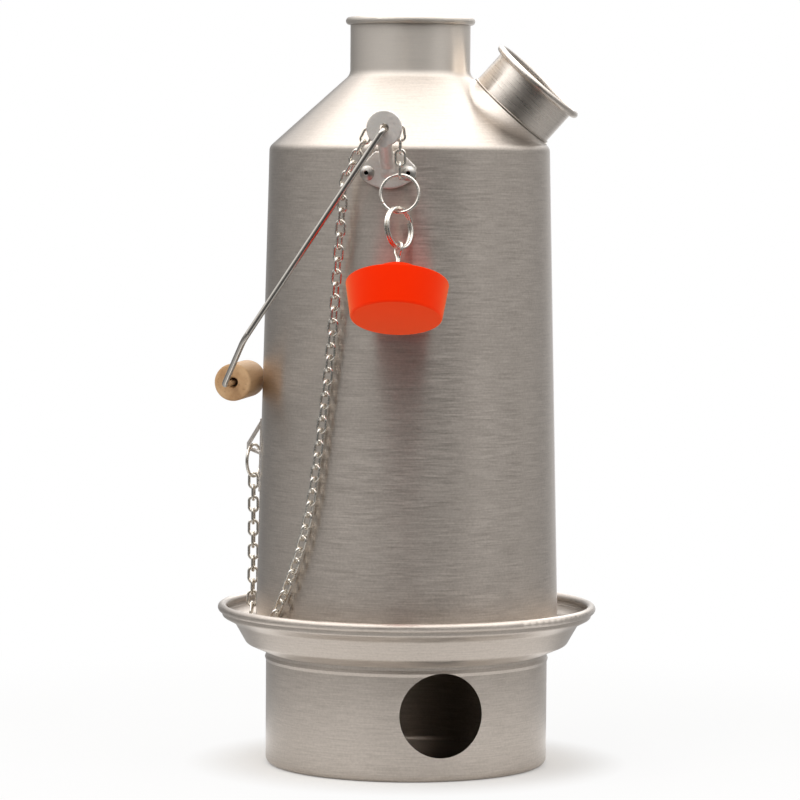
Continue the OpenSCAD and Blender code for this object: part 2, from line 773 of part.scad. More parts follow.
module bail_wire() {
    points = [
        on_bail(0, -stub_end_r),
        on_bail(0, -arm_y),
        on_bail(bail_arm, -arm_y),
        on_bail(bail_depth, -bail_span / 2),
        on_bail(bail_depth, bail_span / 2),
        on_bail(bail_arm, arm_y),
        on_bail(0, arm_y),
        on_bail(0, stub_end_r)];
    radii = [0, hook_r, bail_bend_r, bail_bend_r, bail_bend_r, bail_bend_r, hook_r, 0];
    color(bright_steel)
        union() {
            bent_wire(points, radii, wire_d);
            for (turn = [0, 180])
                rotate([0, 0, turn])
                    translate([0, -stub_end_r, pivot_z])
                        rotate([90, 0, 0])
                            cylinder(h = bail_head_h, d = bail_head_d, $fn = 32);
        }
}

module handle_grip() {
    half = grip_len / 2;
    outline = rounded([
        [grip_bore / 2, -half, 0],
        [grip_d / 2, -half, grip_edge_r],
        [grip_d / 2, half, grip_edge_r],
        [grip_bore / 2, half, 0]]);
    color(wood)
        translate(on_bail(bail_depth, -grip_slide))
            rotate([90, 0, 0])
                rotate_extrude()
                    polygon(outline);
}

// Strap on the wall with a loop that stands out for the ring
module chain_tab() {
    loop_path = [
        [tab_back, tab_len - tab_sheet],
        [tab_front, tab_loop_rise + tab_leg_rise + 2.5],
        [tab_front, tab_loop_rise + tab_leg_rise],
        [tab_back, tab_loop_rise]];
    color(steel)
        along([-wall_r(tab_z), 0, tab_z], [-cos(wall_lean), 0, sin(wall_lean)], [sin(wall_lean), 0, cos(wall_lean)])
            translate([0, 0, -tab_w / 2])
                union() {
                    linear_extrude(tab_w)
                        translate([fixed_gap, 0])
                            square([tab_sheet, tab_len]);
                    linear_extrude(tab_w)
                        polygon(concat(
                            moved(loop_path, tab_sheet / 2),
                            backwards(moved(loop_path, -tab_sheet / 2))));
                }
}

module tab_ring() {
    color(bright_steel)
        translate(on_tab([tab_ring_out, 0, tab_ring_top - tab_ring_mid_r]))
            rotate([0, 0, -tab_ring_turn])
                rotate([0, 90, 0])
                    ring(tab_ring_mid_r, ring_wire);
}

// One link of bent wire, lying along X in the XY plane
module link() {
    mid_w = link_w - link_wire;
    straight = link_len - link_w;
    for (side = [-1, 1]) {
        translate([-straight / 2, side * mid_w / 2, 0])
            rotate([0, 90, 0])
                cylinder(h = straight, d = link_wire, $fn = 16);
        translate([side * straight / 2, 0, 0])
            rotate([0, 0, -side * 90])
                rotate_extrude(angle = 180)
                    translate([mid_w / 2, 0])
                        circle(d = link_wire, $fn = 16);
    }
}

// Links from one joint to another, each turned a quarter from the last;
// in the dish they lie on their edges, half a turn between the two
function roll_at(i) = let (
        into = (i - run_last) / 4,
        out = (dish_last - i) / 4)
    45 * max(0, min(1, into, out));
module links(first, last) {
    for (i = [first:last]) {
        a = joints[i];
        b = joints[i + 1];
        way = unit(b - a);
        away = unit([a[0] + b[0], a[1] + b[1], 0]);
        out = unit(away - way * (away * way));
        side = cross(way, out);
        roll = roll_at(i) + 90 * (i % 2);
        along(a + way * half_link(i, i, link_step), way, out * cos(roll) + side * sin(roll))
            link();
    }
}

module chain_drop() {
    color(bright_steel)
        links(0, drop_last);
}

module chain_lug() {
    color(bright_steel)
        links(drop_last + 1, lug_last);
}

module chain_run() {
    color(bright_steel)
        links(lug_last + 1, run_last);
}

module chain_dish() {
    color(bright_steel)
        links(run_last + 1, dish_last);
}

module chain_rise() {
    color(bright_steel)
        links(dish_last + 1, link_count - 1);
}

// The rings hang from the last link, leaning out until the stopper's rim meets the wall
module in_rings() {
    translate([drop_side, chain_y, ring_top_z])
        rotate([-rings_lean, 0, hang_turn])
            children();
}

module in_stopper() {
    rotate([0, 0, hang_turn])
        translate([0, -hang_r - rings_drop * sin(rings_lean), ring_top_z - rings_drop * cos(rings_lean)])
            rotate([-stopper_tilt, 0, 0])
                children();
}

module stopper_ring() {
    color(bright_steel)
        in_rings()
            translate([0, 0, -ring_mid_r])
                rotate([90, 0, 0])
                    ring(ring_mid_r, ring_wire);
}

module link_ring() {
    color(bright_steel)
        in_rings()
            translate([0, 0, -rings_drop + link_ring_mid_r])
                rotate([0, 0, link_ring_turn])
                    rotate([90, 0, 0])
                        split_ring(link_ring_mid_r, ring_wire);
}

module stopper_eye() {
    loop_z = -eye_z_drop;
    color(bright_steel)
        in_stopper()
            union() {
                translate([0, 0, loop_z])
                    rotate([0, 0, eye_turn])
                        rotate([0, 90, 0])
                            ring(eye_loop_d / 2, eye_wire);
                translate([0, 0, -eye_stem - eye_set])
                    cylinder(h = eye_stem + eye_set + loop_z - eye_loop_d / 2, d = eye_wire, $fn = 32);
            }
}

module stopper() {
    top_z = -stem_end;
    low_z = top_z - stopper_h;
    outline = rounded([
        [0, low_z, 0],
        [stopper_bottom_d / 2, low_z, stopper_edge_r],
        [stopper_top_d / 2, top_z, stopper_edge_r / 2],
        [boss_d / 2, top_z, 0],
        [boss_d / 2, -eye_stem, boss_h / 2],
        [0, -eye_stem, 0]]);
    color(silicone)
        in_stopper()
            difference() {
                rotate_extrude()
                    polygon(outline);
                translate([0, 0, -eye_stem - eye_set - fixed_gap])
                    cylinder(h = eye_set + fixed_gap + cut, d = eye_wire + 2 * fixed_gap, $fn = 32);
            }
}

fire_base();
outer_shell();
flue();
spout();
front_lug();
rear_lug();
front_lug_rivets();
rear_lug_rivets();
bail_wire();
handle_grip();
chain_tab();
tab_ring();
chain_drop();
chain_lug();
chain_run();
chain_dish();
chain_rise();
stopper_ring();
link_ring();
stopper_eye();
stopper();
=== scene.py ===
import bpy
import json
from math import asin, atan2, cos, pi, radians, sin, sqrt, tan
from mathutils import Euler, Matrix, Vector


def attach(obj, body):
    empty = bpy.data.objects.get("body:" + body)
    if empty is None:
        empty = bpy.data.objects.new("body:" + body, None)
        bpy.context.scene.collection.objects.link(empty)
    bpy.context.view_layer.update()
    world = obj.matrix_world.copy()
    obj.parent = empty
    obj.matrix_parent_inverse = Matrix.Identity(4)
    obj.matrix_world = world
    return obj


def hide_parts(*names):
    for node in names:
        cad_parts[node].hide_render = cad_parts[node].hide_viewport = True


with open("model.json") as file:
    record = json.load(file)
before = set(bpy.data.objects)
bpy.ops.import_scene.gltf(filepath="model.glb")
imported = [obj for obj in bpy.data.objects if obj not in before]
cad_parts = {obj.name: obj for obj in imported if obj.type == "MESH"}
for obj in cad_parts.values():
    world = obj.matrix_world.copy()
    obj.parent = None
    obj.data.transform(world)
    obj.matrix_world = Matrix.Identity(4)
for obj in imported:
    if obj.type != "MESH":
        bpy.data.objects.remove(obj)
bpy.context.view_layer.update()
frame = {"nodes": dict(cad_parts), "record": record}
mm = 0.001


# colours are written as sRGB hex values
def linear(hexCode):
    parts = [int(hexCode[i:i + 2], 16) / 255 for i in (1, 3, 5)]
    return tuple(c / 12.92 if c <= 0.04045 else ((c + 0.055) / 1.055) ** 2.4 for c in parts) + (1.0,)


# adds one node, sets its properties and socket values, and links its inputs
def addNode(tree, kind, props=None, values=None, links=None):
    node = tree.nodes.new(kind)
    for key, value in (props or {}).items():
        setattr(node, key, value)
    for key, value in (values or {}).items():
        node.inputs[key].default_value = value
    for key, socket in (links or {}).items():
        tree.links.new(socket, node.inputs[key])
    return node


def newMaterial(name):
    material = bpy.data.materials.new(name)
    material.use_nodes = True
    tree = material.node_tree
    tree.nodes.clear()
    return material, tree


def setRamp(node, stops):
    ramp = node.color_ramp
    while len(ramp.elements) < len(stops):
        ramp.elements.new(0.5)
    for element, (place, colour) in zip(ramp.elements, stops):
        element.position = place
        element.color = colour


def grey(v):
    return (v, v, v, 1.0)


# camera at the photograph's viewing angle: place in m, lens and sensor in mm, angles in degrees
cameraSetup = {
    "place": (0.2695, -1.801, 0.2819),
    "lens": 172.6,
    "sensor": 36,
    "down": 3.423,
    "yaw": 8.631,
    "roll": 0.379,
}
cameraData = bpy.data.cameras.new("camera")
cameraData.lens = cameraSetup["lens"]
cameraData.sensor_width = cameraSetup["sensor"]
camera = bpy.data.objects.new("camera", cameraData)
bpy.context.scene.collection.objects.link(camera)
aim = Euler((radians(90 - cameraSetup["down"]), 0, radians(cameraSetup["yaw"]))).to_matrix()
camera.matrix_world = (
    Matrix.Translation(cameraSetup["place"])
    @ (aim @ Matrix.Rotation(radians(cameraSetup["roll"]), 3, "Z")).to_4x4()
)
bpy.context.scene.camera = camera
bpy.context.scene.view_settings.view_transform = "Standard"


# studio: white for the camera, dim panels round a bright ceiling for what the metal mirrors
studio = {
    "facing": (0.148, -0.989, 0.0),
    "right": (0.989, 0.148, 0.0),
    "ambient": 0.74,
    "softbox": 5.0,
    "softboxFrom": 0.15,
    "softboxTo": 0.52,
    "zenith": 2.8,
    "zenithFrom": 0.5,
    "zenithTo": 0.82,
    "lightTarget": (0, 0, 0.2),
    "keyPlace": (-0.55, -0.75, 1.5),
    "keyPower": 9.0,
    "keySize": 1.1,
    "fillPlace": (1.0, -0.5, 0.9),
    "fillPower": 3.0,
    "fillSize": 0.9,
    "floor": "#F4F2EF",
    "floorRadius": 0.46,
    "floorSides": 96,
    "floorFade": 0.24,
    "floorEdge": 0.97,
    "floorGlow": 0.86,
    "shadowGlow": 0.2,
    "shadowFrom": 0.067,
    "shadowTo": 0.12,
    "mirroredMost": 1.45,
    "mirroredReach": 0.3,
}
# brightness of the floor in the metal, as a share of mirroredMost, by the distance from the axis in m
mirroredLevels = [(0.0, 0.2), (0.076, 0.2), (0.1, 1.0), (0.125, 1.0), (0.16, 0.34), (0.3, 0.32)]
# brightness of the panels by the angle round from the camera, left to right
panelLevels = [
    (-180, 0.9), (-172, 0.45), (-153, 0.24), (-120, 0.265), (-90, 0.255), (-60, 0.22), (-44, 0.2),
    (-31, 0.155), (-18, 0.11), (0, 0.065), (31, 0.085), (44, 0.145), (58, 0.24), (90, 0.27),
    (108, 0.335), (134, 0.35), (153, 0.5), (168, 0.8), (180, 1.0),
]
world = bpy.data.worlds.new("studio")
bpy.context.scene.world = world
world.use_nodes = True
tree = world.node_tree
tree.nodes.clear()
coords = addNode(tree, "ShaderNodeTexCoord")
ahead = addNode(tree, "ShaderNodeVectorMath", {"operation": "DOT_PRODUCT"}, {1: studio["facing"]},
                {0: coords.outputs["Generated"]})
aside = addNode(tree, "ShaderNodeVectorMath", {"operation": "DOT_PRODUCT"}, {1: studio["right"]},
                {0: coords.outputs["Generated"]})
turn = addNode(tree, "ShaderNodeMath", {"operation": "ARCTAN2"},
               links={0: aside.outputs["Value"], 1: ahead.outputs["Value"]})
around = addNode(tree, "ShaderNodeMapRange", values={"From Min": -pi, "From Max": pi},
                 links={"Value": turn.outputs["Value"]})
panels = addNode(tree, "ShaderNodeValToRGB", links={"Fac": around.outputs["Result"]})
setRamp(panels, [((angle + 180) / 360, grey(level)) for angle, level in panelLevels])
split = addNode(tree, "ShaderNodeSeparateXYZ", links={"Vector": coords.outputs["Generated"]})
lift = addNode(tree, "ShaderNodeMapRange", {"interpolation_type": "SMOOTHSTEP"},
               {"From Min": studio["softboxFrom"], "From Max": studio["softboxTo"], "To Min": 1.0,
                "To Max": studio["softbox"]},
               {"Value": split.outputs["Z"]})
lifted = addNode(tree, "ShaderNodeVectorMath", {"operation": "SCALE"},
                 links={0: panels.outputs["Color"], "Scale": lift.outputs["Result"]})
high = addNode(tree, "ShaderNodeMapRange", {"interpolation_type": "SMOOTHSTEP"},
               {"From Min": studio["zenithFrom"], "From Max": studio["zenithTo"]},
               {"Value": split.outputs["Z"]})
overhead = addNode(tree, "ShaderNodeMix", {"data_type": "RGBA"}, {7: grey(studio["zenith"])},
                   {0: high.outputs["Result"], 6: lifted.outputs["Vector"]})
paths = addNode(tree, "ShaderNodeLightPath")
mirrored = addNode(tree, "ShaderNodeMath", {"operation": "MAXIMUM"},
                   links={0: paths.outputs["Is Glossy Ray"], 1: paths.outputs["Is Transmission Ray"]})
ambient = addNode(tree, "ShaderNodeMix", {"data_type": "RGBA"}, {6: grey(studio["ambient"])},
                  {0: mirrored.outputs["Value"], 7: overhead.outputs[2]})
seen = addNode(tree, "ShaderNodeMix", {"data_type": "RGBA"}, {7: grey(1.0)},
               {0: paths.outputs["Is Camera Ray"], 6: ambient.outputs[2]})
background = addNode(tree, "ShaderNodeBackground", links={"Color": seen.outputs[2]})
addNode(tree, "ShaderNodeOutputWorld", links={"Surface": background.outputs["Background"]})


def areaLight(name, place, target, power, size):
    data = bpy.data.lights.new(name, "AREA")
    data.energy = power
    data.shape = "DISK"
    data.size = size
    lamp = bpy.data.objects.new(name, data)
    lamp.location = place
    lamp.rotation_euler = (Vector(target) - Vector(place)).to_track_quat("-Z", "Y").to_euler()
    lamp.visible_glossy = False  # the panels are what the metal mirrors
    bpy.context.scene.collection.objects.link(lamp)


areaLight("keyLight", studio["keyPlace"], studio["lightTarget"], studio["keyPower"], studio["keySize"])
areaLight("fillLight", studio["fillPlace"], studio["lightTarget"], studio["fillPower"], studio["fillSize"])


def clearSelection():
    if bpy.context.object and bpy.context.object.mode != "OBJECT":
        bpy.ops.object.mode_set(mode="OBJECT")
    bpy.ops.object.select_all(action="DESELECT")


def pick(piece):
    clearSelection()
    piece.select_set(True)
    bpy.context.view_layer.objects.active = piece


# pale floor: white for the camera apart from the kettle's shadow, and in bands of light in the metal
material, tree = newMaterial("paleStudioFloor")
paths = addNode(tree, "ShaderNodeLightPath")
paint = addNode(tree, "ShaderNodeBsdfDiffuse", values={"Color": linear(studio["floor"])})
mirrored = addNode(tree, "ShaderNodeMath", {"operation": "MAXIMUM"},
                   links={0: paths.outputs["Is Glossy Ray"], 1: paths.outputs["Is Transmission Ray"]})
coords = addNode(tree, "ShaderNodeTexCoord")
distance = addNode(tree, "ShaderNodeVectorMath", {"operation": "LENGTH"}, links={0: coords.outputs["Object"]})
reach = addNode(tree, "ShaderNodeMapRange", values={"From Max": studio["mirroredReach"]},
                links={"Value": distance.outputs["Value"]})
levels = addNode(tree, "ShaderNodeValToRGB", links={"Fac": reach.outputs["Result"]})
setRamp(levels, [(r / studio["mirroredReach"], grey(level)) for r, level in mirroredLevels])
inMetal = addNode(tree, "ShaderNodeMath", {"operation": "MULTIPLY"}, {1: studio["mirroredMost"]},
                  {0: levels.outputs["Color"]})
strength = addNode(tree, "ShaderNodeMix", {"data_type": "FLOAT"}, {2: 1.0},
                   {0: mirrored.outputs["Value"], 3: inMetal.outputs["Value"]})
glow = addNode(tree, "ShaderNodeEmission", values={"Color": grey(1.0)}, links={"Strength": strength.outputs[0]})
seen = addNode(tree, "ShaderNodeMath", {"operation": "MAXIMUM"},
               links={0: paths.outputs["Is Camera Ray"], 1: mirrored.outputs["Value"]})
# the floor runs into the white behind it, with no edge to be seen
fade = addNode(tree, "ShaderNodeMapRange", {"interpolation_type": "SMOOTHSTEP"},
               {"From Min": studio["floorFade"], "From Max": studio["floorRadius"] * studio["floorEdge"],
                "To Min": studio["floorGlow"], "To Max": 1.0}, {"Value": distance.outputs["Value"]})
# close to the drum less of that white is added, so its shadow deepens there
contact = addNode(tree, "ShaderNodeMapRange", {"interpolation_type": "SMOOTHSTEP"},
                  {"From Min": studio["shadowFrom"], "From Max": studio["shadowTo"],
                   "To Min": studio["shadowGlow"], "To Max": 1.0}, {"Value": distance.outputs["Value"]})
lit = addNode(tree, "ShaderNodeMath", {"operation": "MINIMUM"},
              links={0: fade.outputs["Result"], 1: contact.outputs["Result"]})
share = addNode(tree, "ShaderNodeMath", {"operation": "MULTIPLY"},
                links={0: seen.outputs["Value"], 1: lit.outputs["Value"]})
mixed = addNode(tree, "ShaderNodeMixShader", links={0: share.outputs["Value"], 1: paint.outputs["BSDF"],
                                                    2: glow.outputs["Emission"]})
addNode(tree, "ShaderNodeOutputMaterial", links={"Surface": mixed.outputs["Shader"]})
clearSelection()
bpy.ops.mesh.primitive_circle_add(vertices=studio["floorSides"], radius=studio["floorRadius"], fill_type="NGON")
floor = bpy.context.object
floor.name = "studioFloor"
floor.data.materials.append(material)
print("studio ready")


# stainless sheet brushed round an axis: fine lines that stretch every reflection along that axis
steelLook = {"colour": "#D4CAC0", "shade": "#BBB1A7", "rough": 0.33, "lineMm": 0.55, "runMm": 12,
             "lineBump": 0.04, "grainMm": 1.1, "grainShare": 0.5, "patchScale": 14.0, "patchRough": 0.06,
             "roughSwing": 0.05, "stretch": 0.9, "stretchTurn": 0.25,
             # the neck's colour is painted light: a paler tone where the neck mirrors more brightness
             "neckFrom": 0.324, "neckTo": 0.33, "neckRough": 0.12, "neckLitColour": "#F6EEE4", "neckShare": 0.7}
# the spout's copy of the steel is painted paler, as painted light that brightens the spout
spoutLook = {**steelLook, "colour": "#EAE1D7", "shade": "#D2C8BE", "rough": 0.28, "neckShare": 0.0}
spoutAxis = {"place": (0.0478, 0.0, 0.30966), "lean": 42}


def brushedSteel(name, look, place=(0.0, 0.0, 0.0), lean=0):
    material, tree = newMaterial(name)
    coords = addNode(tree, "ShaderNodeTexCoord")
    # lines are a little coarser than real ones, so that they show in the render
    fitted = addNode(tree, "ShaderNodeMapping", {"vector_type": "TEXTURE"},
                     {"Location": place, "Rotation": (0, radians(lean), 0),
                      "Scale": (look["runMm"] * mm, look["runMm"] * mm, look["lineMm"] * mm)},
                     {"Vector": coords.outputs["Object"]})
    streaks = addNode(tree, "ShaderNodeTexNoise", values={"Scale": 1.0, "Detail": 3.0, "Roughness": 0.65},
                      links={"Vector": fitted.outputs["Vector"]})
    broad = addNode(tree, "ShaderNodeTexNoise", values={"Scale": look["patchScale"], "Detail": 2.0},
                    links={"Vector": coords.outputs["Object"]})
    grain = addNode(tree, "ShaderNodeTexNoise", values={"Scale": 1000 / look["grainMm"], "Detail": 2.0},
                    links={"Vector": coords.outputs["Object"]})
    blended = addNode(tree, "ShaderNodeMath", {"operation": "MULTIPLY_ADD"}, {1: look["grainShare"]},
                      {0: grain.outputs["Fac"], 2: streaks.outputs["Fac"]})
    level = addNode(tree, "ShaderNodeMapRange", values={"From Min": 0.5, "From Max": 1.0},
                    links={"Value": blended.outputs["Value"]})
    tone = addNode(tree, "ShaderNodeMix", {"data_type": "RGBA"},
                   {6: linear(look["shade"]), 7: linear(look["colour"])}, {0: level.outputs["Result"]})
    rough = addNode(tree, "ShaderNodeMapRange",
                    values={"From Min": 0.3, "From Max": 0.7, "To Min": look["rough"] - look["roughSwing"],
                            "To Max": look["rough"] + look["roughSwing"]},
                    links={"Value": streaks.outputs["Fac"]})
    wear = addNode(tree, "ShaderNodeMath", {"operation": "MULTIPLY_ADD"}, {1: look["patchRough"]},
                   {0: broad.outputs["Fac"], 2: rough.outputs["Result"]})
    # the spun neck is a little duller than the rolled wall, and is painted paler there as painted light for its
    # brighter reflections
    split = addNode(tree, "ShaderNodeSeparateXYZ", links={"Vector": coords.outputs["Object"]})
    neck = addNode(tree, "ShaderNodeMapRange", {"interpolation_type": "SMOOTHSTEP"},
                   {"From Min": look["neckFrom"], "From Max": look["neckTo"], "To Max": look["neckShare"]},
                   {"Value": split.outputs["Z"]})
    finish = addNode(tree, "ShaderNodeMath", {"operation": "MULTIPLY_ADD"}, {1: look["neckRough"]},
                     {0: neck.outputs["Result"], 2: wear.outputs["Value"]})
    litNeckTone = addNode(tree, "ShaderNodeMix", {"data_type": "RGBA"}, {7: linear(look["neckLitColour"])},
                    {0: neck.outputs["Result"], 6: tone.outputs[2]})
    bump = addNode(tree, "ShaderNodeBump", values={"Strength": look["lineBump"], "Distance": 0.1 * mm},
                   links={"Height": streaks.outputs["Fac"]})
    axis = (sin(radians(lean)), 0, cos(radians(lean)))
    outward = addNode(tree, "ShaderNodeVectorMath", {"operation": "SUBTRACT"}, {1: place},
                      {0: coords.outputs["Object"]})
    across = addNode(tree, "ShaderNodeVectorMath", {"operation": "CROSS_PRODUCT"}, {0: axis},
                     {1: outward.outputs["Vector"]})
    tangent = addNode(tree, "ShaderNodeVectorMath", {"operation": "NORMALIZE"},
                      links={0: across.outputs["Vector"]})
    shader = addNode(tree, "ShaderNodeBsdfPrincipled",
                     values={"Metallic": 1.0, "Anisotropic": look["stretch"],
                             "Anisotropic Rotation": look["stretchTurn"]},
                     links={"Base Color": litNeckTone.outputs[2], "Roughness": finish.outputs["Value"],
                            "Normal": bump.outputs["Normal"], "Tangent": tangent.outputs["Vector"]})
    addNode(tree, "ShaderNodeOutputMaterial", links={"Surface": shader.outputs["BSDF"]})
    return material


# plated or tumbled metal: small soft mottling and handling marks, and painted shade in a rivet's hole
metalLook = {"smoothest": 0.75, "roughest": 1.3, "spotBump": 0.06, "mandrel": "#221E1B"}


def plainMetal(name, colour, rough, spotMm, shadeName=None):
    material, tree = newMaterial(name)
    coords = addNode(tree, "ShaderNodeTexCoord")
    spots = addNode(tree, "ShaderNodeTexNoise", values={"Scale": 1000 / spotMm, "Detail": 4.0},
                    links={"Vector": coords.outputs["Object"]})
    level = addNode(tree, "ShaderNodeMapRange",
                    values={"From Min": 0.3, "From Max": 0.7, "To Min": rough * metalLook["smoothest"],
                            "To Max": rough * metalLook["roughest"]},
                    links={"Value": spots.outputs["Fac"]})
    bump = addNode(tree, "ShaderNodeBump", values={"Strength": metalLook["spotBump"], "Distance": 0.1 * mm},
                   links={"Height": spots.outputs["Fac"]})
    shader = addNode(tree, "ShaderNodeBsdfPrincipled", values={"Base Color": linear(colour), "Metallic": 1.0},
                     links={"Roughness": level.outputs["Result"], "Normal": bump.outputs["Normal"]})
    if shadeName:  # the hole is painted dark, as painted shade in its recess
        shade = addNode(tree, "ShaderNodeAttribute", {"attribute_name": shadeName})
        tone = addNode(tree, "ShaderNodeMix", {"data_type": "RGBA"},
                       {6: linear(colour), 7: linear(metalLook["mandrel"])}, {0: shade.outputs["Fac"]})
        tree.links.new(tone.outputs[2], shader.inputs["Base Color"])
    addNode(tree, "ShaderNodeOutputMaterial", links={"Surface": shader.outputs["BSDF"]})
    return material


# unvarnished turned beech: fibres along the grip, faint growth rings on its ends, small dark flecks
woodLook = {"pale": "#CBA67C", "dark": "#AE8459", "fleck": "#8A6340", "fibreMm": 1.1, "ringMm": 3.2,
            "heart": (-0.096, 0.0, 0.172), "alongShare": 0.06, "ringShare": 0.35, "darkAt": 0.26,
            "paleAt": 0.66, "fleckFrom": 0.6, "fleckTo": 0.75, "fleckMost": 0.55, "fleckBump": 0.3,
            "rough": 0.62}


def turnedWood(name, look):
    material, tree = newMaterial(name)
    coords = addNode(tree, "ShaderNodeTexCoord")
    along = addNode(tree, "ShaderNodeMapping", values={"Scale": (1.0, look["alongShare"], 1.0)},
                    links={"Vector": coords.outputs["Object"]})
    grain = addNode(tree, "ShaderNodeTexNoise",
                    values={"Scale": 1000 / look["fibreMm"] / 3, "Detail": 5.0, "Roughness": 0.62,
                            "Distortion": 0.4},
                    links={"Vector": along.outputs["Vector"]})
    flecks = addNode(tree, "ShaderNodeTexNoise", values={"Scale": 1000 / look["fibreMm"], "Detail": 2.0},
                     links={"Vector": along.outputs["Vector"]})
    fromHeart = addNode(tree, "ShaderNodeMapping", {"vector_type": "TEXTURE"}, {"Location": look["heart"]},
                        {"Vector": coords.outputs["Object"]})
    rings = addNode(tree, "ShaderNodeTexWave", {"wave_type": "RINGS", "rings_direction": "Y"},
                    {"Scale": 1000 / look["ringMm"] / 20, "Distortion": 1.6, "Detail": 2.0,
                     "Detail Scale": 1.5},
                    {"Vector": fromHeart.outputs["Vector"]})
    mixedGrain = addNode(tree, "ShaderNodeMix", {"data_type": "FLOAT"}, {0: look["ringShare"]},
                         {2: grain.outputs["Fac"], 3: rings.outputs["Fac"]})
    ramp = addNode(tree, "ShaderNodeValToRGB", links={"Fac": mixedGrain.outputs[0]})
    setRamp(ramp, [(look["darkAt"], linear(look["dark"])), (look["paleAt"], linear(look["pale"]))])
    fleckShare = addNode(tree, "ShaderNodeMapRange",
                         values={"From Min": look["fleckFrom"], "From Max": look["fleckTo"],
                                 "To Max": look["fleckMost"]},
                         links={"Value": flecks.outputs["Fac"]})
    tone = addNode(tree, "ShaderNodeMix", {"data_type": "RGBA"}, {7: linear(look["fleck"])},
                   {0: fleckShare.outputs["Result"], 6: ramp.outputs["Color"]})
    bump = addNode(tree, "ShaderNodeBump", {"invert": True},
                   {"Strength": look["fleckBump"], "Distance": 0.2 * mm},
                   {"Height": fleckShare.outputs["Result"]})
    shader = addNode(tree, "ShaderNodeBsdfPrincipled", values={"Roughness": look["rough"]},
                     links={"Base Color": tone.outputs[2], "Normal": bump.outputs["Normal"]})
    addNode(tree, "ShaderNodeOutputMaterial", links={"Surface": shader.outputs["BSDF"]})
    return material


# moulded silicone: even strong orange, satin, with a very fine matt skin
siliconeLook = {"colour": "#F42C00", "shade": "#EE2700", "bloom": "#FFDC90", "rough": 0.5, "skinMm": 0.6,
                "skinBump": 0.1, "patchScale": 60.0, "gloss": 0.02, "glow": 0.12, "glowDeep": 0.002,
                "bloomShare": 0.4, "bloomRough": 0.45}


def mouldedSilicone(name, look):
    material, tree = newMaterial(name)
    coords = addNode(tree, "ShaderNodeTexCoord")
    skin = addNode(tree, "ShaderNodeTexNoise", values={"Scale": 1000 / look["skinMm"], "Detail": 3.0},
                   links={"Vector": coords.outputs["Object"]})
    broad = addNode(tree, "ShaderNodeTexNoise", values={"Scale": look["patchScale"], "Detail": 2.0},
                    links={"Vector": coords.outputs["Object"]})
    tone = addNode(tree, "ShaderNodeMix", {"data_type": "RGBA"},
                   {6: linear(look["shade"]), 7: linear(look["colour"])}, {0: broad.outputs["Fac"]})
    bump = addNode(tree, "ShaderNodeBump", values={"Strength": look["skinBump"], "Distance": 0.08 * mm},
                   links={"Height": skin.outputs["Fac"]})
    shader = addNode(tree, "ShaderNodeBsdfPrincipled",
                     values={"Roughness": look["rough"], "Specular IOR Level": look["gloss"],
                             "Subsurface Weight": look["glow"], "Subsurface Scale": look["glowDeep"],
                             "Sheen Weight": look["bloomShare"], "Sheen Roughness": look["bloomRough"],
                             "Sheen Tint": linear(look["bloom"])},
                     links={"Base Color": tone.outputs[2], "Normal": bump.outputs["Normal"]})
    addNode(tree, "ShaderNodeOutputMaterial", links={"Surface": shader.outputs["BSDF"]})
    return material


finishes = {
    "steel": brushedSteel("brushedStainlessSteel", steelLook),
    "lug_steel": plainMetal("tumbledStainlessSteel", "#F2EDE7", 0.66, 1.2),
    "rivet_aluminium": plainMetal("plainAluminium", "#BFBBB5", 0.4, 0.8, "holeShade"),
    "wire_steel": plainMetal("drawnSteelWire", "#C9C3BB", 0.2, 1.5),
    "chain_nickel": plainMetal("brightNickelPlate", "#EAE4DA", 0.24, 1.0),
    "wood": turnedWood("turnedBeech", woodLook),
    "silicone": mouldedSilicone("mouldedSilicone", siliconeLook),
}
spoutSteel = brushedSteel("brushedSpoutSteel", spoutLook, spoutAxis["place"], spoutAxis["lean"])
slots = {part["node"]: part["material_slot"] for part in frame["record"]["subparts"]}
for node, obj in frame["nodes"].items():
    obj.data.materials.clear()
    obj.data.materials.append(spoutSteel if node == "spout" else finishes[slots[node]])
print("materials ready")


# corners (r, z, rounding) of an outline become points, with an arc at each rounded corner
def roundedOutline(corners, steps=6):
    points = []
    for i, (r, z, rounding) in enumerate(corners):
        here = Vector((r, z))
        if rounding == 0 or i in (0, len(corners) - 1):
            points.append(here)
            continue
        back = (Vector(corners[i - 1][:2]) - here).normalized()
        on = (Vector(corners[i + 1][:2]) - here).normalized()
        half = back.angle(on) / 2
        middle = here + (back + on).normalized() * (rounding / sin(half))
        first = here + back * (rounding / tan(half)) - middle
        last = here + on * (rounding / tan(half)) - middle
        swing = atan2(first.x * last.y - first.y * last.x, first.dot(last))
        for k in range(steps + 1):
            points.append(middle + Matrix.Rotation(swing * k / steps, 2) @ first)
    return points


# closes seams and open ends, and turns the faces outwards
def closeUp(piece):
    pick(piece)
    bpy.ops.object.mode_set(mode="EDIT")
    bpy.ops.mesh.select_mode(type="VERT")
    bpy.ops.mesh.select_all(action="SELECT")
    bpy.ops.mesh.remove_doubles(threshold=0.002 * mm)
    bpy.ops.mesh.select_all(action="DESELECT")
    bpy.ops.mesh.select_non_manifold(use_wire=False, use_multi_face=False, use_non_contiguous=False,
                                     use_verts=False)
    bpy.ops.mesh.fill_holes(sides=0)
    bpy.ops.mesh.select_all(action="SELECT")
    bpy.ops.mesh.normals_make_consistent(inside=False)
    bpy.ops.object.mode_set(mode="OBJECT")


